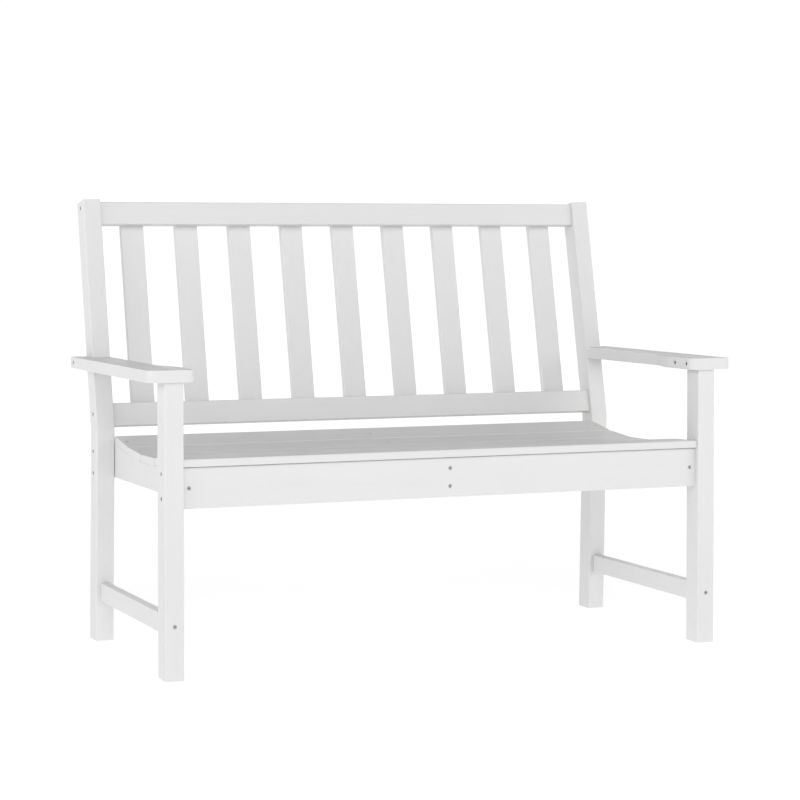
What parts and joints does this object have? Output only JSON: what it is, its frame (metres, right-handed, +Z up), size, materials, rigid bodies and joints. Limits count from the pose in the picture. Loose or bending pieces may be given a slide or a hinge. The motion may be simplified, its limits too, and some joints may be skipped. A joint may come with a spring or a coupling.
{
  "type": "garden bench",
  "caption": "Two-seat garden bench in white plastic lumber: upright back slats, scooped slatted seat, flat armrests and side stretchers.",
  "frame": {"origin": "middle of the footprint, on the floor", "axes": "+Z up, front of the bench towards -Y, +X to the viewer's right"},
  "size_m": [1.222, 0.6274, 0.8973],
  "materials": {
    "white_lumber": "satin with a fine drawn grain",
    "screw_steel": "plain stainless"
  },
  "bodies": {
    "root": {"front_leg_left": "white_lumber", "front_leg_right": "white_lumber", "rear_leg_left": "white_lumber", "rear_leg_right": "white_lumber", "armrest_left": "white_lumber", "armrest_right": "white_lumber", "front_apron": "white_lumber", "rear_apron": "white_lumber", "side_rail_left": "white_lumber", "side_rail_right": "white_lumber", "center_support": "white_lumber", "seat_slat_1": "white_lumber", "seat_slat_2": "white_lumber", "seat_slat_3": "white_lumber", "seat_slat_4": "white_lumber", "seat_slat_5": "white_lumber", "stretcher_left": "white_lumber", "stretcher_right": "white_lumber", "back_top_rail": "white_lumber", "back_bottom_rail": "white_lumber", "back_slat_1": "white_lumber", "back_slat_2": "white_lumber", "back_slat_3": "white_lumber", "back_slat_4": "white_lumber", "back_slat_5": "white_lumber", "back_slat_6": "white_lumber", "back_slat_7": "white_lumber", "back_slat_8": "white_lumber", "back_slat_9": "white_lumber", "front_leg_screws": "screw_steel", "rear_leg_screws": "screw_steel", "back_rail_screws": "screw_steel", "front_apron_screws": "screw_steel", "rear_apron_screws": "screw_steel", "seat_slat_screws": "screw_steel", "back_slat_screws": "screw_steel", "armrest_front_screws": "screw_steel", "armrest_rear_screws": "screw_steel", "stretcher_screws": "screw_steel"}
  },
  "joints": []
}
